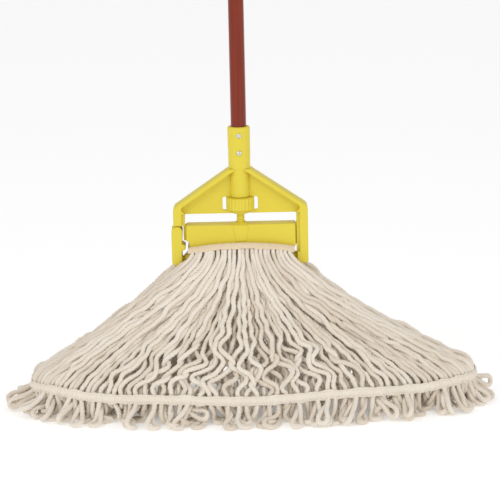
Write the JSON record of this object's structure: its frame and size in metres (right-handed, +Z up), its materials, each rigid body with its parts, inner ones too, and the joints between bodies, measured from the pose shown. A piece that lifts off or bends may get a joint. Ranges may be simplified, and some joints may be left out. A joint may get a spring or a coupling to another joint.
{
  "type": "side-gate wet mop",
  "caption": "String wet mop: plastic side-gate clamp head on a long round handle, with a looped cotton yarn head spread on the floor.",
  "frame": {"origin": "on the floor, under the middle of the bounding box, which is the handle's axis", "axes": "+Z up along the handle, +X across the clamp towards the fixed rail, -Y towards the front"},
  "size_m": [0.7714, 0.276, 1.601],
  "materials": {
    "yellow_plastic": "satin",
    "red_brown_coating": "gloss",
    "black_plastic": "matte",
    "zinc_steel": "satin",
    "cotton_yarn": "matte",
    "cotton_tape": "matte"
  },
  "bodies": {
    "mop": {"frame": "yellow_plastic", "handle_tube": "red_brown_coating", "handle_plug": "black_plastic", "handle_end_cap": "black_plastic", "rivet_upper": "zinc_steel", "rivet_lower": "zinc_steel", "gate_pin": "zinc_steel", "headband": "cotton_tape", "yarn_crown": "cotton_yarn", "tail_band_front": "cotton_tape", "tail_band_back": "cotton_tape", "yarn_front_1": "cotton_yarn", "yarn_front_2": "cotton_yarn", "yarn_front_3": "cotton_yarn", "yarn_front_4": "cotton_yarn", "yarn_front_5": "cotton_yarn", "yarn_front_6": "cotton_yarn", "yarn_back_1": "cotton_yarn", "yarn_back_2": "cotton_yarn", "yarn_back_3": "cotton_yarn", "yarn_back_4": "cotton_yarn", "yarn_back_5": "cotton_yarn", "yarn_back_6": "cotton_yarn"},
    "wheel": {"thumb_wheel": "yellow_plastic"},
    "clamp": {"clamp_plate": "yellow_plastic", "clamp_screw": "yellow_plastic", "screw_pin": "zinc_steel"},
    "gate": {"side_gate": "yellow_plastic"}
  },
  "joints": [
    {"name": "wheel_turn", "type": "hinge", "parent": "mop", "child": "wheel", "pos_m": [0, 0, 0.3234], "axis": [0, 0, -1], "range_deg": [0, 1080]},
    {"name": "clamp_slide", "type": "slide", "parent": "mop", "child": "clamp", "axis": [0, 0, 1], "range_m": [0, 0.012]},
    {"name": "gate_swing", "type": "hinge", "parent": "mop", "child": "gate", "pos_m": [-0.099, 0, 0.2815], "axis": [0, 1, 0], "range_deg": [0, 90]}
  ],
  "couplings": [
    {"joint": "clamp_slide", "follows": "wheel_turn", "m_per_rad": 0.00063662}
  ]
}
